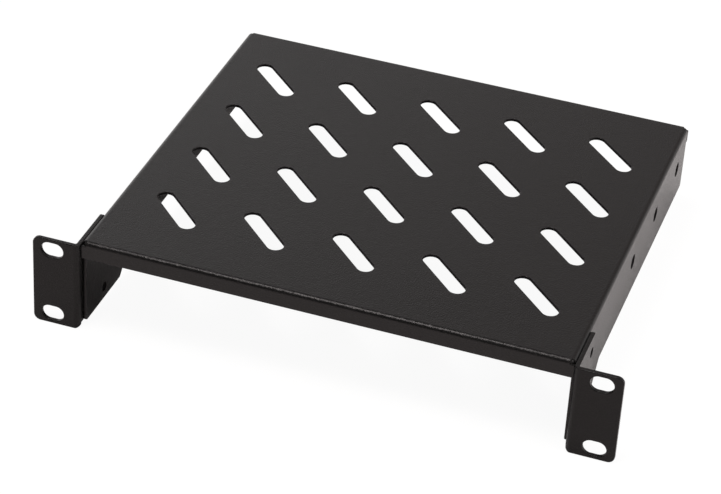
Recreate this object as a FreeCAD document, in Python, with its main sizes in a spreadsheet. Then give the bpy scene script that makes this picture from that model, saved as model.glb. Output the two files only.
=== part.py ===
"""Cantilever shelf for a ten-inch rack: one folded tray and two ear brackets.

The tray is a single sheet. Its deck is pierced with slanted slots, its two sides fold
down as flanges that are deeper at the front, and a short lip folds down at the front
and at the rear. A bracket is welded to the outside of each flange. It folds outward at
its front end into the slotted ear that bolts to the rack.

Frame: the origin is the middle of the four ear slots, on the front face of the ears.
+X points right, +Y to the rear and +Z up. All sizes are in millimetres.
"""

import FreeCAD, Part
import math
import os

import Sketcher

# Driving sizes: name, value, what it sets
DRIVING = (
    ("rack_width", 254.0, "over the outer edges of the two ears"),
    ("ear_reach", 20.9, "outer edge of the ear to the inner face of its bracket"),
    ("ear_sheet", 2.0, "thickness of the bracket"),
    ("ear_fold_radius", 2.6, "outside radius of the bracket's fold"),
    ("ear_corner", 3.0, "radius of the ear's two outer corners"),
    ("ear_slot_edge", 8.7375, "outer edge of the ear to the middle of its slots"),
    ("ear_slot_spacing", 31.75, "between the two slots of one ear"),
    ("ear_slot_margin", 5.125, "middle of a slot to the top or bottom of the ear"),
    ("ear_slot_length", 10.0, "end to end"),
    ("ear_slot_width", 7.1, "across"),
    ("ear_drop", 1.15, "top of the ear below the top of the deck"),
    ("bracket_depth", 27.5, "front of the ear to the rear edge of the bracket"),
    ("bracket_corner", 1.5, "radius of the bracket's two rear corners"),
    ("bracket_rise", 2.15, "bottom of the bracket's side above the bottom of the ear"),
    ("jig_hole", 4.3, "diameter of the holes through bracket and flange"),
    ("jig_hole_inset", 7.8, "from the top of the ear down, and from its bottom up"),
    ("jig_hole_end", 4.2, "to the rear edge of the bracket"),
    ("tray_depth", 195.0, "over the front and rear lips"),
    ("tray_setback", 2.3, "front lip behind the front of the ears"),
    ("tray_sheet", 1.4, "thickness of the tray"),
    ("fold_radius", 2.0, "outside radius of the tray's folds"),
    ("lip_height", 8.1, "top of the deck to the bottom of a lip"),
    ("lip_corner", 0.8, "radius of the lips' bottom corners"),
    ("flange_height", 30.5, "top of the deck to the bottom of the flange"),
    ("flange_front", 37.7, "length of the deep front of the flange"),
    ("flange_slope", 10.5, "run of the slope behind the deep front"),
    ("flange_corner", 1.5, "radius of the flange's bottom corners"),
    ("deck_slot_length", 30.0, "end to end"),
    ("deck_slot_width", 7.3, "across"),
    ("deck_slot_angle", 45.0, "to the front edge, in degrees"),
    ("deck_slot_pitch", 39.6, "between slots, both ways"),
    ("deck_slot_margin", 6.0, "least distance from a slot to a fold"),
    ("side_hole", 6.5, "diameter of the holes in the flanges"),
    ("side_hole_drop", 13.3, "below the top of the deck"),
    ("side_hole_first", 97.9, "first hole behind the front lip"),
    ("side_hole_pitch", 40.0, "between the holes"),
    ("side_hole_margin", 10.0, "least distance from a hole to the rear lip"),
)

# Sizes that follow from the driving ones: name, formula, what it gives
DERIVED = (
    ("half_width", "=rack_width / 2 - ear_reach", "middle to the outside of a flange"),
    ("half_ear", "=ear_slot_spacing / 2 + ear_slot_margin", "middle to the top of an ear"),
    ("deck_top", "=half_ear + ear_drop", "height of the deck's top"),
    ("side_bottom", "=bracket_rise - half_ear", "height of the bottom of bracket and flange"),
    ("jig_height", "=half_ear - jig_hole_inset", "jig holes above and below the middle"),
    ("jig_back", "=bracket_depth - jig_hole_end", "jig holes behind the front of the ear"),
    ("tray_rear", "=tray_setback + tray_depth", "outside of the rear lip"),
    ("deck_width", "=2 * (half_width - fold_radius)", "flat width between the side folds"),
    ("deck_front", "=tray_setback + fold_radius", "front end of the deck's flat and the flanges"),
    ("deck_rear", "=tray_rear - fold_radius", "rear end of the deck's flat and the flanges"),
    ("deck_length", "=deck_rear - deck_front", "flat length between the lip folds"),
    ("slot_half", "=(deck_slot_length - deck_slot_width) / 2", "slot middle to an end centre"),
    ("slot_across", "=slot_half * cos(deck_slot_angle * 1deg)", "that distance along X"),
    ("slot_along", "=slot_half * sin(deck_slot_angle * 1deg)", "that distance along Y"),
    ("slot_room_x", "=deck_width - 2 * (deck_slot_margin + slot_across)", "for slot ends"),
    ("slot_room_y", "=deck_length - 2 * (deck_slot_margin + slot_along)", "for slot ends"),
    ("slot_columns", "=floor((slot_room_x - deck_slot_width) / deck_slot_pitch) + 1", "count"),
    ("slot_rows", "=floor((slot_room_y - deck_slot_width) / deck_slot_pitch) + 1", "count"),
    ("side_run", "=tray_depth - side_hole_first - side_hole_margin", "for the side holes"),
    ("side_hole_count", "=floor(side_run / side_hole_pitch) + 1", "count in each flange"),
)


def write_sizes(doc):
    """Fill a sheet with the driving sizes and with those that follow from them."""
    sheet = doc.addObject("Spreadsheet::Sheet", "sizes")
    for row, (name, content, meaning) in enumerate(DRIVING + DERIVED, start=1):
        sheet.set(f"A{row}", name)
        sheet.set(f"B{row}", str(content))
        sheet.set(f"C{row}", meaning)
        sheet.setAlias(f"B{row}", name)
    doc.recompute()
    return sheet


def value(sketch, formula):
    """Work out a formula in the sheet's names."""
    return float(sketch.evalExpression(formula))


def dimension(sketch, kind, *where, formula):
    """Add a dimension to a sketch and tie it to its formula."""
    index = sketch.addConstraint(Sketcher.Constraint(kind, *where, value(sketch, formula)))
    sketch.setExpression(f"Constraints[{index}]", formula)


def pin(sketch, geometry, point, x, y):
    """Hold one point of a sketch at two formulas."""
    dimension(sketch, "DistanceX", geometry, point, formula=x)
    dimension(sketch, "DistanceY", geometry, point, formula=y)


def origin_part(body, role):
    """Find a plane or an axis of the body's own origin."""
    return next(part for part in body.Origin.OriginFeatures if part.Role == role)


def new_sketch(body, name, plane, offset="0 mm"):
    """Start a sketch on a plane of the body's origin, moved along its normal."""
    sketch = body.newObject("Sketcher::SketchObject", name)
    sketch.AttachmentSupport = [(origin_part(body, plane), "")]
    sketch.MapMode = "FlatFace"
    sketch.setExpression("AttachmentOffset.Base.z", offset)
    return sketch


def outline(sketch, corners):
    """Close an outline through corners of (x, y) or (x, y, radius), all of them formulas.

    A corner with a radius becomes an arc that touches the straight runs beside it. A
    construction point stays at the corner itself, where the two runs would meet.
    """
    places = [FreeCAD.Vector(value(sketch, c[0]), value(sketch, c[1]), 0) for c in corners]
    radii = [value(sketch, c[2]) if len(c) == 3 else 0.0 for c in corners]
    last = len(corners) - 1
    arrivals = []
    leavings = []
    middles = []
    left_turns = []
    for index, (place, radius) in enumerate(zip(places, radii)):
        back = (places[index - 1] - place).normalize()
        ahead = (places[0 if index == last else index + 1] - place).normalize()
        half_angle = back.getAngle(ahead) / 2
        arrivals.append(place + back * (radius / math.tan(half_angle)))
        leavings.append(place + ahead * (radius / math.tan(half_angle)))
        inward = (back + ahead).normalize()
        middles.append(place + inward * (radius / math.sin(half_angle) - radius))
        left_turns.append(ahead.cross(back).z > 0)

    runs = []
    for index, start in enumerate(leavings):
        end = arrivals[0 if index == last else index + 1]
        runs.append(sketch.addGeometry(Part.LineSegment(start, end)))

    for index, corner in enumerate(corners):
        before = runs[index - 1]
        after = runs[index]
        if not radii[index]:
            sketch.addConstraint(Sketcher.Constraint("Coincident", before, 2, after, 1))
            pin(sketch, after, 1, corner[0], corner[1])
            continue
        ends = [arrivals[index], leavings[index]]
        arrival, leaving = 1, 2
        if not left_turns[index]:
            ends.reverse()
            arrival, leaving = 2, 1
        arc = sketch.addGeometry(Part.Arc(ends[0], middles[index], ends[1]))
        sketch.addConstraint(Sketcher.Constraint("Tangent", before, 2, arc, arrival))
        sketch.addConstraint(Sketcher.Constraint("Tangent", arc, leaving, after, 1))
        dimension(sketch, "Radius", arc, formula=corner[2])
        mark = sketch.addGeometry(Part.Point(places[index]), True)
        sketch.addConstraint(Sketcher.Constraint("PointOnObject", mark, 1, before))
        sketch.addConstraint(Sketcher.Constraint("PointOnObject", mark, 1, after))
        pin(sketch, mark, 1, corner[0], corner[1])


def circle(sketch, x, y, diameter):
    """Draw a circle from formulas for its centre and diameter."""
    centre = FreeCAD.Vector(value(sketch, x), value(sketch, y), 0)
    radius = value(sketch, diameter) / 2
    ring = sketch.addGeometry(Part.Circle(centre, FreeCAD.Vector(0, 0, 1), radius))
    pin(sketch, ring, 3, x, y)
    dimension(sketch, "Diameter", ring, formula=diameter)


def obround(sketch, first, second, width):
    """Draw a slot between two end centres, each a pair of formulas."""
    near = FreeCAD.Vector(value(sketch, first[0]), value(sketch, first[1]), 0)
    far = FreeCAD.Vector(value(sketch, second[0]), value(sketch, second[1]), 0)
    radius = value(sketch, width) / 2
    along = (far - near).normalize()
    side = FreeCAD.Vector(-along.y, along.x, 0) * radius
    near_end = Part.Arc(near + side, near - along * radius, near - side)
    far_end = Part.Arc(far - side, far + along * radius, far + side)
    start_cap, right_run, end_cap, left_run = sketch.addGeometry([
        near_end,
        Part.LineSegment(near - side, far - side),
        far_end,
        Part.LineSegment(far + side, near + side),
    ])
    for before, after in (
        (start_cap, right_run),
        (right_run, end_cap),
        (end_cap, left_run),
        (left_run, start_cap),
    ):
        sketch.addConstraint(Sketcher.Constraint("Tangent", before, 2, after, 1))
    sketch.addConstraint(Sketcher.Constraint("Equal", start_cap, end_cap))
    dimension(sketch, "Radius", start_cap, formula=f"({width}) / 2")
    pin(sketch, start_cap, 3, *first)
    pin(sketch, end_cap, 3, *second)


def pad(sketch, name, length, centred=False, reverse=False):
    """Extrude a sketch, to both sides of it where it is centred."""
    feature = sketch.getParent().newObject("PartDesign::Pad", name)
    feature.Profile = sketch
    feature.setExpression("Length", length)
    feature.SideType = "Symmetric" if centred else "One side"
    feature.Reversed = reverse
    return feature


def cut_through(sketch, name):
    """Cut a sketch through the whole body, to both sides of it."""
    feature = sketch.getParent().newObject("PartDesign::Pocket", name)
    feature.Profile = sketch
    feature.Type = "ThroughAll"
    feature.SideType = "Symmetric"
    return feature


def repeat(cut, name, *directions):
    """Repeat a cut along one or two axes: each is (axis, spacing, count)."""
    body = cut.getParent()
    pattern = body.newObject("PartDesign::LinearPattern", name)
    pattern.Originals = [cut]
    for suffix, (axis, spacing, count) in zip(("", "2"), directions):
        setattr(pattern, f"Direction{suffix}", (origin_part(body, axis), [""]))
        setattr(pattern, f"Mode{suffix}", "Spacing")
        setattr(pattern, f"Spacings{suffix}", [-1.0])
        pattern.setExpression(f"Offset{suffix}", spacing)
        pattern.setExpression(f"Occurrences{suffix}", count)
    body.Tip = pattern
    return pattern


def new_body(doc, name, label):
    """Start a body with the label that names its file."""
    body = doc.addObject("PartDesign::Body", name)
    body.Label = label
    return body


def cut_jig_holes(body):
    """Pierce the two holes that line bracket and flange up for welding."""
    sketch = new_sketch(body, "JigHoleSketch", "YZ_Plane")
    for height in ("sizes.jig_height", "-sizes.jig_height"):
        circle(sketch, "sizes.jig_back", height, "sizes.jig_hole")
    cut_through(sketch, "JigHoles")


def add_deck(body):
    """Extrude the deck with its two side folds, each with a short stub of flange."""
    side = "sizes.half_width"
    inside = "sizes.half_width - sizes.tray_sheet"
    under = "sizes.deck_top - sizes.tray_sheet"
    stub = "sizes.deck_top - sizes.fold_radius - sizes.tray_sheet"
    inner_radius = "sizes.fold_radius - sizes.tray_sheet"
    sketch = new_sketch(body, "DeckSketch", "XZ_Plane", "-sizes.deck_front")
    outline(sketch, (
        (f"-({side})", stub),
        (f"-({side})", "sizes.deck_top", "sizes.fold_radius"),
        (side, "sizes.deck_top", "sizes.fold_radius"),
        (side, stub),
        (inside, stub),
        (inside, under, inner_radius),
        (f"-({inside})", under, inner_radius),
        (f"-({inside})", stub),
    ))
    pad(sketch, "Deck", "sizes.deck_length", reverse=True)


def add_flanges(body):
    """Extrude the right flange from its side outline and mirror it to the left."""
    top = "sizes.deck_top - sizes.fold_radius"
    bottom = "sizes.deck_top - sizes.flange_height"
    slope_foot = "sizes.tray_setback + sizes.flange_front"
    sketch = new_sketch(body, "FlangeSketch", "YZ_Plane", "sizes.half_width - sizes.tray_sheet")
    outline(sketch, (
        ("sizes.deck_front", top),
        ("sizes.deck_front", "sizes.side_bottom", "sizes.flange_corner"),
        (slope_foot, "sizes.side_bottom", "sizes.flange_corner"),
        (f"{slope_foot} + sizes.flange_slope", bottom, "sizes.flange_corner"),
        ("sizes.deck_rear", bottom, "sizes.flange_corner"),
        ("sizes.deck_rear", top),
    ))
    flange = pad(sketch, "RightFlange", "sizes.tray_sheet")
    mirrored = body.newObject("PartDesign::Mirrored", "LeftFlange")
    mirrored.Originals = [flange]
    mirrored.MirrorPlane = (origin_part(body, "YZ_Plane"), [""])
    body.Tip = mirrored


def add_lip(body, name, face, inward):
    """Fold a lip down at one end of the deck.

    face is the formula of the lip's outside, and inward is the sign that leads from it
    into the tray. The fold spans the flat of the deck, and the lip below it reaches
    over the ends of both flanges.
    """
    inside = f"{face} {inward} sizes.tray_sheet"
    overlap = f"{face} {inward} (sizes.fold_radius + sizes.tray_sheet)"
    stub = "sizes.deck_top - sizes.fold_radius - sizes.tray_sheet"
    under = "sizes.deck_top - sizes.tray_sheet"
    fold = new_sketch(body, f"{name}FoldSketch", "YZ_Plane")
    outline(fold, (
        (overlap, "sizes.deck_top"),
        (face, "sizes.deck_top", "sizes.fold_radius"),
        (face, stub),
        (inside, stub),
        (inside, under, "sizes.fold_radius - sizes.tray_sheet"),
        (overlap, under),
    ))
    pad(fold, f"{name}Fold", "sizes.deck_width", centred=True)

    top = "sizes.deck_top - sizes.fold_radius"
    bottom = "sizes.deck_top - sizes.lip_height"
    plate = new_sketch(body, f"{name}LipSketch", "XZ_Plane", f"-({face})")
    outline(plate, (
        ("-sizes.half_width", top),
        ("-sizes.half_width", bottom, "sizes.lip_corner"),
        ("sizes.half_width", bottom, "sizes.lip_corner"),
        ("sizes.half_width", top),
    ))
    pad(plate, f"{name}Lip", "sizes.tray_sheet", reverse=inward == "+")


def cut_deck_slots(body):
    """Pierce the slanted slots, in columns and rows about the middle of the deck."""
    left = "-(sizes.slot_columns - 1) / 2 * sizes.deck_slot_pitch"
    middle = "sizes.tray_setback + sizes.tray_depth / 2"
    front = f"{middle} - (sizes.slot_rows - 1) / 2 * sizes.deck_slot_pitch"
    sketch = new_sketch(body, "DeckSlotSketch", "XY_Plane")
    obround(
        sketch,
        (f"{left} - sizes.slot_across", f"{front} + sizes.slot_along"),
        (f"{left} + sizes.slot_across", f"{front} - sizes.slot_along"),
        "sizes.deck_slot_width",
    )
    slot = cut_through(sketch, "DeckSlot")
    repeat(
        slot,
        "DeckSlots",
        ("X_Axis", "sizes.deck_slot_pitch", "sizes.slot_columns"),
        ("Y_Axis", "sizes.deck_slot_pitch", "sizes.slot_rows"),
    )


def cut_side_holes(body):
    """Pierce the row of holes in both flanges."""
    sketch = new_sketch(body, "SideHoleSketch", "YZ_Plane")
    circle(
        sketch,
        "sizes.tray_setback + sizes.side_hole_first",
        "sizes.deck_top - sizes.side_hole_drop",
        "sizes.side_hole",
    )
    hole = cut_through(sketch, "SideHole")
    repeat(hole, "SideHoles", ("Y_Axis", "sizes.side_hole_pitch", "sizes.side_hole_count"))


def make_tray(doc):
    """Build the folded sheet: deck, flanges and lips, then its slots and holes."""
    body = new_body(doc, "ShelfTray", "shelf_tray")
    add_deck(body)
    add_flanges(body)
    add_lip(body, "Front", "sizes.tray_setback", "+")
    add_lip(body, "Rear", "sizes.tray_rear", "-")
    cut_deck_slots(body)
    cut_side_holes(body)
    cut_jig_holes(body)
    return body


def add_bracket_sheet(body):
    """Extrude the left bracket's plan: the ear, the fold and the side plate behind it."""
    edge = "-sizes.rack_width / 2"
    inner_face = "-sizes.half_width"
    outer_face = "-(sizes.half_width + sizes.ear_sheet)"
    sketch = new_sketch(body, "PlanSketch", "XY_Plane")
    outline(sketch, (
        (edge, "0 mm"),
        (inner_face, "0 mm", "sizes.ear_fold_radius"),
        (inner_face, "sizes.bracket_depth"),
        (outer_face, "sizes.bracket_depth"),
        (outer_face, "sizes.ear_sheet", "sizes.ear_fold_radius - sizes.ear_sheet"),
        (edge, "sizes.ear_sheet"),
    ))
    pad(sketch, "FoldedSheet", "2 * sizes.half_ear", centred=True)


def trim_bracket_bottom(body):
    """Raise the side plate's bottom edge and round the ear's corner beside it."""
    ear_bottom = "-sizes.half_ear"
    below = "-sizes.half_ear - sizes.ear_sheet"
    behind = "sizes.bracket_depth + sizes.ear_sheet"
    plate = new_sketch(body, "PlateBottomSketch", "YZ_Plane")
    outline(plate, (
        ("sizes.ear_fold_radius", below),
        (behind, below),
        (behind, "sizes.side_bottom"),
        ("sizes.ear_fold_radius", "sizes.side_bottom"),
    ))
    cut_through(plate, "PlateBottom")

    face = "-sizes.half_width"
    clear = "-sizes.half_width + sizes.ear_sheet"
    outer = "-sizes.half_width - sizes.bracket_rise - sizes.ear_sheet"
    above = "sizes.side_bottom + sizes.ear_sheet"
    corner = new_sketch(body, "FoldCornerSketch", "XZ_Plane")
    outline(corner, (
        (clear, above),
        (face, above),
        (face, ear_bottom, "sizes.bracket_rise"),
        (outer, ear_bottom),
        (outer, below),
        (clear, below),
    ))
    rounding = body.newObject("PartDesign::Pocket", "FoldCorner")
    rounding.Profile = corner
    rounding.setExpression("Length", "sizes.ear_fold_radius")


def cut_ear_slots(body):
    """Pierce the two slots that the rack's screws go through."""
    middle = "-sizes.rack_width / 2 + sizes.ear_slot_edge"
    half = "(sizes.ear_slot_length - sizes.ear_slot_width) / 2"
    sketch = new_sketch(body, "EarSlotSketch", "XZ_Plane")
    for height in ("sizes.ear_slot_spacing / 2", "-sizes.ear_slot_spacing / 2"):
        obround(
            sketch,
            (f"{middle} - {half}", height),
            (f"{middle} + {half}", height),
            "sizes.ear_slot_width",
        )
    cut_through(sketch, "EarSlots")


def round_edges(body, name, radius, chosen):
    """Round the edges of the body's last feature that the test picks out."""
    base = body.Tip
    edges = [f"Edge{n}" for n, edge in enumerate(base.Shape.Edges, start=1) if chosen(edge)]
    feature = body.newObject("PartDesign::Fillet", name)
    feature.Base = (base, edges)
    feature.setExpression("Radius", radius)


def round_bracket_corners(doc, body, sheet):
    """Round the ear's outer corners and the side plate's rear corners."""
    edge = -sheet.rack_width / 2
    near = sheet.ear_sheet / 100

    def at_ear_corner(line):
        """Short edge across the sheet, at the top or bottom of the ear's outer edge."""
        centre = line.CenterOfMass
        return abs(centre.x - edge) < near and abs(abs(centre.z) - sheet.half_ear) < near

    def at_rear_corner(line):
        """Short edge across the sheet, at the top or bottom of the plate's rear edge."""
        centre = line.CenterOfMass
        heights = (sheet.half_ear, sheet.side_bottom)
        at_end = any(abs(centre.z - height) < near for height in heights)
        return abs(centre.y - sheet.bracket_depth) < near and at_end

    doc.recompute()
    round_edges(body, "EarCorners", "sizes.ear_corner", at_ear_corner)
    doc.recompute()
    round_edges(body, "RearCorners", "sizes.bracket_corner", at_rear_corner)


def make_left_bracket(doc, sheet):
    """Build the left bracket: folded sheet, trimmed corners, slots and jig holes."""
    body = new_body(doc, "LeftEarBracket", "left_ear_bracket")
    add_bracket_sheet(body)
    trim_bracket_bottom(body)
    cut_ear_slots(body)
    cut_jig_holes(body)
    round_bracket_corners(doc, body, sheet)
    return body


def make_right_bracket(doc, left):
    """Mirror the left bracket across the middle of the shelf."""
    mirrored = doc.addObject("Part::Mirroring", "RightEarBracket")
    mirrored.Label = "right_ear_bracket"
    mirrored.Source = left
    mirrored.Normal = FreeCAD.Vector(1, 0, 0)
    return mirrored


def check(doc, parts):
    """Stop if anything failed to build or a cut or pattern changed nothing."""
    for item in doc.Objects:
        if "Invalid" in item.State or "Error" in item.State:
            raise RuntimeError(f"{item.Label} did not build: {item.State}")
    for part in parts:
        if part.Shape.isNull() or not part.Shape.isValid() or len(part.Shape.Solids) != 1:
            raise RuntimeError(f"{part.Label} is not one valid solid")
    for body in (part for part in parts if part.TypeId == "PartDesign::Body"):
        steps = [item for item in body.Group if hasattr(item, "BaseFeature")]
        for step in (item for item in steps if item.BaseFeature):
            change = step.Shape.Volume - step.BaseFeature.Shape.Volume
            adds = step.TypeId in ("PartDesign::Pad", "PartDesign::Mirrored")
            if (change if adds else -change) <= 0:
                raise RuntimeError(f"{step.Label} in {body.Label} changes nothing")


def main():
    """Build the shelf and write each piece to its own file."""
    doc = FreeCAD.newDocument("rack_shelf")
    sheet = write_sizes(doc)
    tray = make_tray(doc)
    left = make_left_bracket(doc, sheet)
    right = make_right_bracket(doc, left)
    doc.recompute()
    parts = (tray, left, right)
    check(doc, parts)
    os.makedirs("parts", exist_ok=True)
    for part in parts:
        part.Shape.exportStep(f"parts/{part.Label}.step")
        print(part.Label, "volume", round(part.Shape.Volume, 1), "mm3", part.Shape.BoundBox)


main()
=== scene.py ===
"""Cantilever rack shelf: a folded tray between two ear brackets, in satin black powder coat.

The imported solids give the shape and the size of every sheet. Each sheet is a copy of its solid,
with the cut edges rounded as the coat rounds them, and small beads close the tray's corner
reliefs. All lengths are in metres and all angles in degrees, unless a name says otherwise.
"""

import logging
import math
from dataclasses import dataclass
from enum import Enum
from functools import cached_property

import bmesh
import bpy
import numpy as np
from mathutils import Matrix, Vector


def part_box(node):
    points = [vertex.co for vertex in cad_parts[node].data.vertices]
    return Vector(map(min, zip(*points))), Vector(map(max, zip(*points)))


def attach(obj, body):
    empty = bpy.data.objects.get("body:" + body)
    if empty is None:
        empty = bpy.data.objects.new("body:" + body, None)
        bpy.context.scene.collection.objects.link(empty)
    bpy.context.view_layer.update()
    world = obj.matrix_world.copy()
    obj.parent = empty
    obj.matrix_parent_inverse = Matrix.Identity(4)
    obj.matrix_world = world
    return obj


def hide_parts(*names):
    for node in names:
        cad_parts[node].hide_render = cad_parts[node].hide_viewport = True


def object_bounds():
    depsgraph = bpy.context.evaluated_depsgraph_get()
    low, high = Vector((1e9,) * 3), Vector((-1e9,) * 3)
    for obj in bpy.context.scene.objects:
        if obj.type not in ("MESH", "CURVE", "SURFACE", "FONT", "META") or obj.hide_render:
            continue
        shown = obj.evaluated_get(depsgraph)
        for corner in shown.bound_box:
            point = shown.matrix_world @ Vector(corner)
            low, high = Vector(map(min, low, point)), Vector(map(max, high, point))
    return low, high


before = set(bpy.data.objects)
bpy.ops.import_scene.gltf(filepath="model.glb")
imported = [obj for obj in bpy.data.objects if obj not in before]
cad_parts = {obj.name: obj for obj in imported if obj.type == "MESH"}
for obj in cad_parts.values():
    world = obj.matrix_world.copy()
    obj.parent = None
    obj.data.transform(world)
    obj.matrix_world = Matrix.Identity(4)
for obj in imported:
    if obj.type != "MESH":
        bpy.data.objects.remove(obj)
CAD_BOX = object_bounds()

IMAGE_WIDTH = 721
SENSOR_WIDTH_MM = 36.0
RIM_MASK = "rim"
WALL_MASK = "slot_wall"
WHITE = (1.0, 1.0, 1.0, 1.0)

Colour = tuple[float, float, float]

DEEP_BLACK: Colour = (0.0042, 0.0040, 0.0039)
PALE_BLACK: Colour = (0.0075, 0.0071, 0.0070)
# Painted shade: the slot walls take this near-black to stand for the shade inside the slots.
SLOT_SHADE_BLACK: Colour = (0.0015, 0.0015, 0.0015)

log = logging.getLogger("rack_shelf")


class Node(Enum):
    """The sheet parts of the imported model."""

    TRAY = "shelf_tray"
    LEFT_BRACKET = "left_ear_bracket"
    RIGHT_BRACKET = "right_ear_bracket"


class Slot(Enum):
    """The material slots of the record."""

    TRAY = "tray_coat"
    BRACKET = "bracket_coat"


def unit_vector(azimuth: float, elevation: float) -> Vector:
    """Gives the direction at an azimuth and an elevation.

    Azimuth 0 points along -Y, and it grows towards +X.

    Args:
        azimuth: Angle round +Z, in degrees.
        elevation: Angle above the horizon, in degrees.

    Returns:
        The unit vector.
    """
    turn = math.radians(azimuth)
    rise = math.radians(elevation)
    level = math.cos(rise)
    return Vector((math.sin(turn) * level, -math.cos(turn) * level, math.sin(rise)))


class Wiring:
    """Adds nodes to one node tree and joins them."""

    def __init__(self, tree: bpy.types.NodeTree) -> None:
        """Empties the tree.

        Args:
            tree: The node tree of a material, a world or a group.
        """
        self.tree = tree
        tree.nodes.clear()

    def add(self, kind: str, settings: dict | None = None, **inputs: object) -> bpy.types.Node:
        """Adds one node.

        Args:
            kind: The node's type name.
            settings: Properties of the node itself.
            **inputs: A value or an output socket for each input; a blank in a name is written _.

        Returns:
            The node.
        """
        node = self.tree.nodes.new(kind)
        for name, value in (settings or {}).items():
            setattr(node, name, value)
        for name, value in inputs.items():
            self.feed(node.inputs[name.replace("_", " ")], value)
        return node

    def feed(self, socket: bpy.types.NodeSocket, value: object) -> None:
        """Links an output socket to an input, or sets the input's value.

        Args:
            socket: The input.
            value: The output socket or the plain value.
        """
        if isinstance(value, bpy.types.NodeSocket):
            self.tree.links.new(value, socket)
        else:
            socket.default_value = value

    def math(self, operation: str, *values: object) -> bpy.types.NodeSocket:
        """Adds a Math node.

        Args:
            operation: The operation's name.
            *values: Its inputs in order.

        Returns:
            The result.
        """
        node = self.add("ShaderNodeMath", {"operation": operation})
        for socket, value in zip(node.inputs, values):
            self.feed(socket, value)
        return node.outputs[0]

    def mix(self, factor: object, first: object, second: object) -> bpy.types.NodeSocket:
        """Mixes two numbers.

        Args:
            factor: Share of the second number.
            first: The first number.
            second: The second number.

        Returns:
            The mixed number.
        """
        node = self.add("ShaderNodeMix", {"data_type": "FLOAT"})
        for socket, value in zip((node.inputs[0], *node.inputs[2:4]), (factor, first, second)):
            self.feed(socket, value)
        return node.outputs[0]

    def blend(self, factor: object, first: object, second: object) -> bpy.types.NodeSocket:
        """Mixes two colours.

        Args:
            factor: Share of the second colour.
            first: The first colour.
            second: The second colour.

        Returns:
            The mixed colour.
        """
        node = self.add("ShaderNodeMix", {"data_type": "RGBA"})
        colours = [socket for socket in node.inputs if socket.type == "RGBA"]
        self.feed(node.inputs[0], factor)
        self.feed(colours[0], first)
        self.feed(colours[1], second)
        return next(socket for socket in node.outputs if socket.type == "RGBA")

    def noise(
        self, position: object, size: object, detail: float, breakup: float
    ) -> bpy.types.NodeSocket:
        """Adds a noise pattern.

        Args:
            position: Where the pattern is read.
            size: Length of its coarsest spots.
            detail: How many times it is laid over itself at half the size.
            breakup: Share of each finer layer in the one before it.

        Returns:
            The pattern, from 0 to 1.
        """
        scale = self.math("DIVIDE", 1.0, size)
        node = self.add(
            "ShaderNodeTexNoise", Vector=position, Scale=scale, Detail=detail, Roughness=breakup
        )
        return node.outputs[0]

    def stretch(
        self, value: object, low: float, high: float, start: object, end: object
    ) -> bpy.types.NodeSocket:
        """Maps the stretch from low to high onto the one from start to end, and holds its ends.

        Args:
            value: The number to map.
            low: The number that gives start, as all below it do.
            high: The number that gives end, as all above it do.
            start: The result at low.
            end: The result at high.

        Returns:
            The mapped number.
        """
        node = self.add(
            "ShaderNodeMapRange", Value=value, From_Min=low, From_Max=high, To_Min=start, To_Max=end
        )
        return node.outputs[0]


def new_group(name: str, inputs: dict[str, str], outputs: dict[str, str]) -> bpy.types.NodeTree:
    """Starts a shader node group.

    Args:
        name: The group's name.
        inputs: Socket type by socket name.
        outputs: Socket type by socket name.

    Returns:
        The group, with its sockets and no nodes.
    """
    group = bpy.data.node_groups.new(name, "ShaderNodeTree")
    for label, kind in inputs.items():
        group.interface.new_socket(name=label, in_out="INPUT", socket_type=kind)
    for label, kind in outputs.items():
        group.interface.new_socket(name=label, in_out="OUTPUT", socket_type=kind)
    return group


def coat_surface_group() -> bpy.types.NodeTree:
    """Makes the group for the relief of a baked powder coat.

    The height is a fine grain plus a share of the longer waves of the flow.

    Returns:
        The group, which puts out a height.
    """
    group = new_group(
        "coat_surface",
        {
            "Position": "NodeSocketVector",
            "Grain Size": "NodeSocketFloat",
            "Wave Size": "NodeSocketFloat",
            "Wave Share": "NodeSocketFloat",
        },
        {"Height": "NodeSocketFloat"},
    )
    wiring = Wiring(group)
    given = wiring.add("NodeGroupInput").outputs
    grain = wiring.noise(given["Position"], given["Grain Size"], detail=1.0, breakup=0.5)
    waves = wiring.noise(given["Position"], given["Wave Size"], detail=1.0, breakup=0.4)
    tall_waves = wiring.math("MULTIPLY", waves, given["Wave Share"])
    wiring.add("NodeGroupOutput", Height=wiring.math("ADD", grain, tall_waves))
    return group


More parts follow.
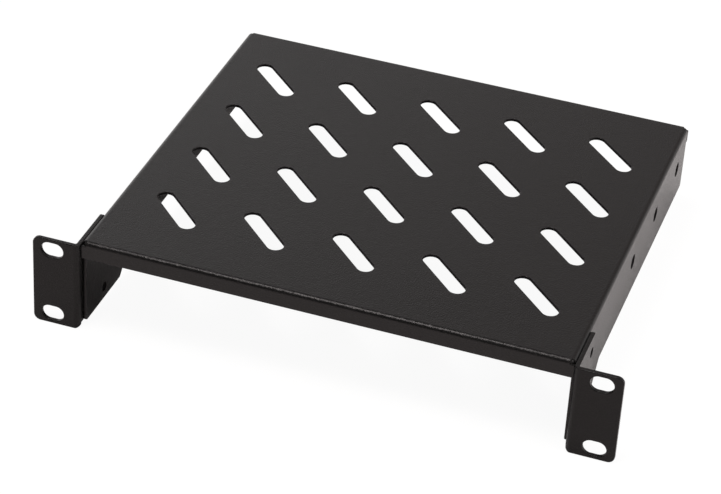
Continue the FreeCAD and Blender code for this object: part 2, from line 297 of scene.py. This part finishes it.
def coat_tone_group() -> bpy.types.NodeTree:
    """Makes the group for the colour and the gloss of a baked powder coat.

    The colour drifts slowly over the part and has fine paler specks. At the rims the coat is a
    little smoother, where it is drawn thin round the cut edge, and paler, partly for that thin coat
    and partly as a painted highlight. On the walls of the slots it is matt and darkened to a
    painted shade.

    Returns:
        The group, which puts out a colour and a roughness.
    """
    group = new_group(
        "coat_tone",
        {
            "Position": "NodeSocketVector",
            "Rim": "NodeSocketFloat",
            "Wall": "NodeSocketFloat",
            "Deep Colour": "NodeSocketColor",
            "Pale Colour": "NodeSocketColor",
            "Drift Size": "NodeSocketFloat",
            "Speck Size": "NodeSocketFloat",
            "Speck Share": "NodeSocketFloat",
            "Rim Share": "NodeSocketFloat",
            "Smooth": "NodeSocketFloat",
            "Rough": "NodeSocketFloat",
            "Rim Smoothing": "NodeSocketFloat",
            "Wall Colour": "NodeSocketColor",
            "Wall Rough": "NodeSocketFloat",
        },
        {"Color": "NodeSocketColor", "Roughness": "NodeSocketFloat"},
    )
    wiring = Wiring(group)
    given = wiring.add("NodeGroupInput").outputs
    drift = wiring.noise(given["Position"], given["Drift Size"], detail=3.0, breakup=0.55)
    specks = wiring.noise(given["Position"], given["Speck Size"], detail=0.0, breakup=0.5)
    sharp_specks = wiring.stretch(specks, low=0.55, high=0.75, start=0.0, end=1.0)
    speck_part = wiring.math("MULTIPLY", sharp_specks, given["Speck Share"])
    # The rims are made paler, partly for the thin coat on cut edges and partly as a painted
    # highlight.
    rim_thin_coat_and_highlight_part = wiring.math("MULTIPLY", given["Rim"], given["Rim Share"])
    paleness = wiring.math("ADD", wiring.math("ADD", drift, speck_part), rim_thin_coat_and_highlight_part)
    level = wiring.add("ShaderNodeClamp", Value=paleness).outputs[0]
    colour = wiring.blend(level, given["Deep Colour"], given["Pale Colour"])
    spread = wiring.stretch(drift, low=0.3, high=0.7, start=given["Smooth"], end=given["Rough"])
    rim_gloss = wiring.math("MULTIPLY", given["Rim"], given["Rim Smoothing"])
    roughness = wiring.math("SUBTRACT", spread, rim_gloss)
    # The slot walls take the wall colour, which is a painted shade, and full roughness.
    wiring.add(
        "NodeGroupOutput",
        Color=wiring.blend(given["Wall"], colour, given["Wall Colour"]),
        Roughness=wiring.mix(given["Wall"], roughness, given["Wall Rough"]),
    )
    return group


@dataclass(frozen=True)
class PowderCoat:
    """A baked satin powder coat: its gloss, refractive index, colours and relief.

    Its roughness drifts between smooth and rough, and its colour between the deep and the pale
    one. Its rims are paled, partly for the thin coat there and partly as a painted highlight, and
    the walls of the slots are darkened to a painted shade. A share is how far an effect moves the
    coat, and a size is the length of its spots.
    """

    slot: Slot
    smooth: float
    rough: float
    index: float
    deep_colour: Colour = DEEP_BLACK
    pale_colour: Colour = PALE_BLACK
    sheen_tint: Colour = (1.0, 0.92, 0.91)
    grain_size: float = 0.0006
    wave_size: float = 0.0026
    wave_share: float = 0.3
    relief_depth: float = 0.00012
    relief_strength: float = 1.0
    drift_size: float = 0.07
    speck_size: float = 0.0009
    speck_share: float = 0.6
    # Paling at the rims: partly the thin coat on cut edges, partly a painted highlight.
    rim_thin_coat_and_highlight: float = 1.2
    rim_smoothing: float = 0.06
    # Painted shade on the walls of the deck's slots.
    wall_shade_colour: Colour = SLOT_SHADE_BLACK
    wall_rough: float = 1.0

    def material(
        self, surface: bpy.types.NodeTree, tone: bpy.types.NodeTree
    ) -> bpy.types.Material:
        """Makes the material.

        Args:
            surface: The group that gives the coat's relief.
            tone: The group that gives the coat's colour and gloss.

        Returns:
            The material, named after its slot.
        """
        material = bpy.data.materials.new(self.slot.value)
        material.use_nodes = True
        wiring = Wiring(material.node_tree)
        position = wiring.add("ShaderNodeTexCoord").outputs["Object"]
        rim = wiring.add("ShaderNodeAttribute", {"attribute_name": RIM_MASK}).outputs["Fac"]
        # The slot-wall mask marks where the coat is darkened to a painted shade.
        wall = wiring.add("ShaderNodeAttribute", {"attribute_name": WALL_MASK}).outputs["Fac"]
        relief = wiring.add(
            "ShaderNodeGroup",
            {"node_tree": surface},
            Position=position,
            Grain_Size=self.grain_size,
            Wave_Size=self.wave_size,
            Wave_Share=self.wave_share,
        )
        look = wiring.add(
            "ShaderNodeGroup",
            {"node_tree": tone},
            Position=position,
            Rim=rim,
            Wall=wall,
            Deep_Colour=(*self.deep_colour, 1.0),
            Pale_Colour=(*self.pale_colour, 1.0),
            Drift_Size=self.drift_size,
            Speck_Size=self.speck_size,
            Speck_Share=self.speck_share,
            Rim_Share=self.rim_thin_coat_and_highlight,
            Smooth=self.smooth,
            Rough=self.rough,
            Rim_Smoothing=self.rim_smoothing,
            Wall_Colour=(*self.wall_shade_colour, 1.0),
            Wall_Rough=self.wall_rough,
        )
        bump = wiring.add(
            "ShaderNodeBump",
            Strength=self.relief_strength,
            Distance=self.relief_depth,
            Height=relief.outputs["Height"],
        )
        shader = wiring.add(
            "ShaderNodeBsdfPrincipled",
            Base_Color=look.outputs["Color"],
            Roughness=look.outputs["Roughness"],
            IOR=self.index,
            Specular_Tint=(*self.sheen_tint, 1.0),
            Normal=bump.outputs["Normal"],
        )
        wiring.add("ShaderNodeOutputMaterial", Surface=shader.outputs["BSDF"])
        return material


@dataclass
class CoatedSheet:
    """A folded sheet part, copied from its solid and rounded at its cut edges."""

    node: Node
    slot: Slot
    rim_radius: float
    rim_steps: int = 3
    rim_roundness: float = 0.5
    merge_distance: float = 1e-7
    flat_angle: float = 0.2
    cut_angle: float = 60.0
    flat_weight: int = 100

    def build(self, coat: bpy.types.Material) -> bpy.types.Object:
        """Makes the piece in place of its solid.

        Args:
            coat: The finish of the whole sheet.

        Returns:
            The piece, which rides on the root body.
        """
        mesh = self.rounded_mesh()
        mesh.materials.clear()
        mesh.materials.append(coat)
        piece = bpy.data.objects.new(self.node.value + "_sheet", mesh)
        bpy.context.scene.collection.objects.link(piece)
        self.even_shading(piece)
        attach(piece, "root")
        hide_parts(self.node.value)
        return piece

    def rounded_mesh(self) -> bpy.types.Mesh:
        """Copies the solid's mesh, joins its loose triangles and rounds its cut edges.

        Triangles within flat_angle of one plane become one face. An edge counts as cut where its
        two faces turn by more than cut_angle. Each is replaced by rim_steps strips on a quarter
        round of rim_radius, which the rim mask marks with 1; the coat pales there, partly for its
        thin coat and partly as a painted highlight. The wall mask marks the faces that is_slot_wall
        names, which the coat darkens with painted shade.

        Returns:
            The mesh.
        """
        shape = bmesh.new()
        shape.from_mesh(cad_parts[self.node.value].data)
        bmesh.ops.remove_doubles(shape, verts=shape.verts, dist=self.merge_distance)
        bmesh.ops.dissolve_limit(
            shape, angle_limit=math.radians(self.flat_angle), verts=shape.verts, edges=shape.edges
        )
        rim_mask = shape.faces.layers.float.new(RIM_MASK)
        wall_mask = shape.faces.layers.float.new(WALL_MASK)
        for edge in shape.edges:
            edge.tag = edge.calc_face_angle() > math.radians(self.cut_angle)
        for face in shape.faces:
            face[wall_mask] = float(self.is_slot_wall(face))
        cut_edges = [edge for edge in shape.edges if edge.tag]
        rounds = bmesh.ops.bevel(
            shape,
            geom=cut_edges,
            offset=self.rim_radius,
            offset_type="OFFSET",
            affect="EDGES",
            segments=self.rim_steps,
            profile=self.rim_roundness,
            clamp_overlap=False,
        )
        for face in rounds["faces"]:
            face[rim_mask] = 1.0
            face[wall_mask] = 0.0
        mesh = bpy.data.meshes.new(self.node.value + "_sheet")
        shape.to_mesh(mesh)
        shape.free()
        mesh.shade_smooth()
        return mesh

    def is_slot_wall(self, face: bmesh.types.BMFace) -> bool:
        """Tells whether a face is the wall of a slot in a deck; a plain sheet has none."""
        return False

    def even_shading(self, piece: bpy.types.Object) -> None:
        """Lets the large flats keep their own direction where they run into folds and rims."""
        shading = piece.modifiers.new("flat_faces_first", "WEIGHTED_NORMAL")
        shading.mode = "FACE_AREA"
        shading.weight = self.flat_weight


@dataclass
class ShelfTray(CoatedSheet):
    """The folded tray: deck with slots, two side flanges and two lips."""

    node: Node = Node.TRAY
    slot: Slot = Slot.TRAY
    rim_radius: float = 0.0003
    thickness: float = 0.0014
    area_slack: float = 1.02

    @cached_property
    def underside(self) -> float:
        """Gives the height of the deck's underside."""
        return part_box(self.node.value)[1].z - self.thickness

    def is_slot_wall(self, face: bmesh.types.BMFace) -> bool:
        """Tells whether a face is the wall of a slot in the deck.

        Such a face lies above the deck's underside and spans no more than the sheet's thickness
        between its cut edges: its area is at most that thickness times half their length, with
        a little slack.

        Args:
            face: A face of the joined mesh, with its cut edges tagged.

        Returns:
            True for a slot's wall.
        """
        cut_length = sum(edge.calc_length() for edge in face.edges if edge.tag)
        spans_sheet = face.calc_area() < self.thickness * self.area_slack * cut_length / 2.0
        return spans_sheet and face.calc_center_median().z > self.underside


@dataclass
class EarBracket(CoatedSheet):
    """An ear with its side plate, folded from the thicker sheet."""

    slot: Slot = Slot.BRACKET
    rim_radius: float = 0.0004


@dataclass
class CornerBeads:
    """The drops of weld that close the small reliefs where the folds of lips and flanges meet."""

    fold_radius: float = 0.002
    width_radius: float = 0.00135
    height_radius: float = 0.00145
    rings: int = 12
    spokes: int = 20

    def build(self, coat: bpy.types.Material) -> bpy.types.Object:
        """Makes the four beads as one piece.

        Args:
            coat: The tray's finish.

        Returns:
            The piece, which rides on the root body.
        """
        low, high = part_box(Node.TRAY.value)
        shape = bmesh.new()
        for side in (low.x + self.fold_radius, high.x - self.fold_radius):
            for end in (low.y + self.fold_radius, high.y - self.fold_radius):
                self.add_bead(shape, np.array((side, end, high.z - self.fold_radius)))
        bmesh.ops.recalc_face_normals(shape, faces=shape.faces)
        mesh = bpy.data.meshes.new("corner_beads")
        shape.to_mesh(mesh)
        shape.free()
        mesh.materials.append(coat)
        mesh.shade_smooth()
        piece = bpy.data.objects.new("corner_beads", mesh)
        bpy.context.scene.collection.objects.link(piece)
        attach(piece, "root")
        return piece

    def add_bead(self, shape: bmesh.types.BMesh, centre: np.ndarray) -> None:
        """Adds one bead, closed at its two poles.

        A point at azimuth a and elevation e is the centre plus (w cos e cos a, w cos e sin a,
        h sin e), with the width radius w and the height radius h.

        Args:
            shape: The mesh that it joins.
            centre: The bead's middle, where the two folds' centre lines meet.
        """
        rise = np.linspace(-np.pi / 2.0, np.pi / 2.0, self.rings + 1)[1:-1, None]
        turn = np.linspace(0.0, 2.0 * np.pi, self.spokes, endpoint=False)[None, :]
        level = self.width_radius * np.cos(rise)
        across = level * np.cos(turn)
        along = level * np.sin(turn)
        above = np.broadcast_to(self.height_radius * np.sin(rise), across.shape)
        offsets = np.stack((across, along, above), axis=2)
        rows = [[shape.verts.new(point) for point in row] for row in centre + offsets]
        pole = np.array((0.0, 0.0, self.height_radius))
        for lower, upper in zip(rows, rows[1:]):
            for step in range(self.spokes):
                after = (step + 1) % self.spokes
                shape.faces.new((lower[step], lower[after], upper[after], upper[step]))
        for row, tip in ((rows[0], centre - pole), (rows[-1], centre + pole)):
            end = shape.verts.new(tip)
            for step in range(self.spokes):
                shape.faces.new((row[step], row[(step + 1) % self.spokes], end))


@dataclass
class StudioFloor:
    """The pale floor that the shelf stands on.

    What the camera sees of it is plain white by seen_share, at seen_strength, and the rest of
    it is the lit floor with the shelf's shadow.
    """

    height: float
    reach: float = 8.0
    corners: int = 64
    colour: Colour = (0.95, 0.90, 0.89)
    seen_share: float = 0.92
    seen_strength: float = 1.02

    def build(self) -> bpy.types.Object:
        """Makes the floor as a disc, at x = reach cos t, y = reach sin t for t round the circle.

        Returns:
            The floor, marked as stage.
        """
        turn = np.linspace(0.0, 2.0 * np.pi, self.corners, endpoint=False)
        level = np.full_like(turn, self.height)
        points = np.stack((self.reach * np.cos(turn), self.reach * np.sin(turn), level), axis=1)
        mesh = bpy.data.meshes.new("studio_floor")
        mesh.from_pydata(points.tolist(), [], [list(range(self.corners))])
        mesh.materials.append(self.material())
        floor = bpy.data.objects.new("studio_floor", mesh)
        bpy.context.scene.collection.objects.link(floor)
        return floor

    def material(self) -> bpy.types.Material:
        """Makes the floor's finish: matt and pale, and nearly white where the camera sees it.

        Returns:
            The material.
        """
        material = bpy.data.materials.new("studio_floor")
        material.use_nodes = True
        wiring = Wiring(material.node_tree)
        matt = wiring.add("ShaderNodeBsdfDiffuse", Color=(*self.colour, 1.0))
        white = wiring.add("ShaderNodeEmission", Color=WHITE, Strength=self.seen_strength)
        camera = wiring.add("ShaderNodeLightPath").outputs["Is Camera Ray"]
        share = wiring.math("MULTIPLY", camera, self.seen_share)
        mix = wiring.add("ShaderNodeMixShader", Fac=share)
        wiring.feed(mix.inputs[1], matt.outputs[0])
        wiring.feed(mix.inputs[2], white.outputs[0])
        wiring.add("ShaderNodeOutputMaterial", Surface=mix.outputs[0])
        return material


@dataclass(frozen=True)
class Glow:
    """A soft patch of light on the studio's walls.

    Its light from a direction d is strength c^sharpness times its tint, where c is the cosine
    between d and the patch's own direction, and nothing where c is negative.
    """

    azimuth: float
    elevation: float
    strength: float
    tint: Colour = (1.0, 1.0, 1.0)
    sharpness: float = 14.0

    def wire(self, wiring: Wiring, direction: bpy.types.NodeSocket) -> bpy.types.NodeSocket:
        """Adds the patch to the world's nodes.

        Args:
            wiring: The world's node tree.
            direction: The direction that is looked in.

        Returns:
            The patch's light from there.
        """
        cosine = wiring.add("ShaderNodeVectorMath", {"operation": "DOT_PRODUCT"})
        wiring.feed(cosine.inputs[0], direction)
        cosine.inputs[1].default_value = unit_vector(self.azimuth, self.elevation)
        ahead = wiring.math("MAXIMUM", cosine.outputs["Value"], 0.0)
        narrowed = wiring.math("POWER", ahead, self.sharpness)
        patch = wiring.add("ShaderNodeVectorMath", {"operation": "SCALE"})
        patch.inputs[0].default_value = self.tint
        wiring.feed(patch.inputs["Scale"], wiring.math("MULTIPLY", narrowed, self.strength))
        return patch.outputs[0]


@dataclass
class StudioWalls:
    """The light that the studio's walls give back: an even level and a few soft patches."""

    glows: tuple[Glow, ...]
    even_level: float = 0.03

    def build(self) -> bpy.types.World:
        """Makes the world, white where the camera sees it.

        Returns:
            The world.
        """
        world = bpy.data.worlds.new("studio_walls")
        world.use_nodes = True
        wiring = Wiring(world.node_tree)
        direction = wiring.add("ShaderNodeTexCoord").outputs["Generated"]
        level = self.even_level
        light = wiring.add("ShaderNodeCombineXYZ", X=level, Y=level, Z=level)
        for glow in self.glows:
            total = wiring.add("ShaderNodeVectorMath", {"operation": "ADD"})
            wiring.feed(total.inputs[0], light.outputs[0])
            wiring.feed(total.inputs[1], glow.wire(wiring, direction))
            light = total
        camera = wiring.add("ShaderNodeLightPath").outputs["Is Camera Ray"]
        colour = wiring.blend(camera, light.outputs[0], WHITE)
        background = wiring.add("ShaderNodeBackground", Color=colour, Strength=1.0)
        wiring.add("ShaderNodeOutputWorld", Surface=background.outputs[0])
        bpy.context.scene.world = world
        return world


@dataclass
class SoftBox:
    """A large square lamp that faces one point."""

    name: str
    azimuth: float
    elevation: float
    distance: float
    width: float
    radiance: float

    def build(self, target: Vector) -> bpy.types.Object:
        """Makes the lamp. A matt square lamp of radiance L and area A gives pi L A watts.

        Args:
            target: The point that it faces.

        Returns:
            The lamp's object.
        """
        lamp = bpy.data.lights.new(self.name, "AREA")
        lamp.shape = "SQUARE"
        lamp.size = self.width
        lamp.energy = math.pi * self.radiance * self.width**2
        holder = bpy.data.objects.new(self.name, lamp)
        towards = unit_vector(self.azimuth, self.elevation)
        holder.location = target + towards * self.distance
        holder.rotation_euler = towards.to_track_quat("Z", "Y").to_euler()
        bpy.context.scene.collection.objects.link(holder)
        return holder


@dataclass
class ProductCamera:
    """The camera, fitted to the slots and edges that the photograph shows."""

    place: Vector
    azimuth: float
    elevation: float
    roll: float
    focal_pixels: float
    farthest: float = 30.0

    def build(self) -> bpy.types.Object:
        """Makes the camera and sets it as the scene's own.

        Returns:
            The camera's object.
        """
        back = unit_vector(self.azimuth, self.elevation)
        level = Vector((-back.y, back.x, 0.0)).normalized()
        right = Matrix.Rotation(math.radians(self.roll), 3, back) @ level
        up = back.cross(right)
        lens = bpy.data.cameras.new("product_camera")
        lens.sensor_width = SENSOR_WIDTH_MM
        lens.lens = self.focal_pixels / IMAGE_WIDTH * SENSOR_WIDTH_MM
        lens.clip_end = self.farthest
        camera = bpy.data.objects.new("product_camera", lens)
        axes = Matrix((right, up, back)).transposed().to_4x4()
        camera.matrix_world = Matrix.Translation(self.place) @ axes
        bpy.context.scene.collection.objects.link(camera)
        bpy.context.scene.camera = camera
        return camera


@dataclass
class Studio:
    """The floor, the light and the camera."""

    floor: StudioFloor
    walls: StudioWalls
    lamps: tuple[SoftBox, ...]
    camera: ProductCamera

    def build(self) -> None:
        """Makes the studio round the shelf."""
        low, high = CAD_BOX
        self.floor.build()
        self.walls.build()
        for lamp in self.lamps:
            lamp.build((low + high) / 2.0)
        self.camera.build()
        bpy.context.scene.view_settings.view_transform = "Standard"


@dataclass
class RackShelf:
    """The whole shelf: the tray and its two ear brackets, each in its coat."""

    tray_coat: PowderCoat
    bracket_coat: PowderCoat

    def build(self) -> list[bpy.types.Object]:
        """Makes the tray with its corner beads, and the two brackets.

        Returns:
            The pieces.
        """
        surface = coat_surface_group()
        tone = coat_tone_group()
        tray_finish = self.tray_coat.material(surface, tone)
        bracket_finish = self.bracket_coat.material(surface, tone)
        pieces = [ShelfTray().build(tray_finish)]
        pieces.append(CornerBeads().build(tray_finish))
        for node in (Node.LEFT_BRACKET, Node.RIGHT_BRACKET):
            pieces.append(EarBracket(node).build(bracket_finish))
        return pieces


def main() -> None:
    """Builds the shelf and its studio, and reports each piece."""
    logging.basicConfig(level=logging.INFO, format="%(name)s: %(message)s")
    shelf = RackShelf(
        tray_coat=PowderCoat(Slot.TRAY, smooth=0.28, rough=0.34, index=1.32),
        bracket_coat=PowderCoat(Slot.BRACKET, smooth=0.24, rough=0.30, index=1.26),
    )
    for piece in shelf.build():
        log.info("%s: %d faces", piece.name, len(piece.data.polygons))
    studio = Studio(
        floor=StudioFloor(height=CAD_BOX[0].z),
        walls=StudioWalls(
            glows=(
                Glow(azimuth=-142.0, elevation=16.0, strength=2.0),
                Glow(azimuth=90.0, elevation=8.0, strength=1.2),
                Glow(azimuth=135.0, elevation=8.0, strength=1.2),
                Glow(azimuth=174.0, elevation=32.0, strength=0.5, tint=(1.0, 0.86, 0.84)),
                Glow(azimuth=45.0, elevation=30.0, strength=0.6),
                Glow(azimuth=-65.0, elevation=30.0, strength=0.6),
            )
        ),
        lamps=(
            SoftBox(
                "top_light", azimuth=-40.0, elevation=72.0, distance=1.4, width=0.6, radiance=12.0
            ),
            SoftBox(
                "right_light", azimuth=92.0, elevation=50.0, distance=1.4, width=0.9, radiance=3.9
            ),
        ),
        camera=ProductCamera(
            place=Vector((0.275238, -0.845299, 0.645625)),
            azimuth=17.0870,
            elevation=33.7924,
            roll=3.6257,
            focal_pixels=2693.54,
        ),
    )
    studio.build()
    log.info("studio, camera and sizes are ready")


if __name__ == "__main__":
    main()
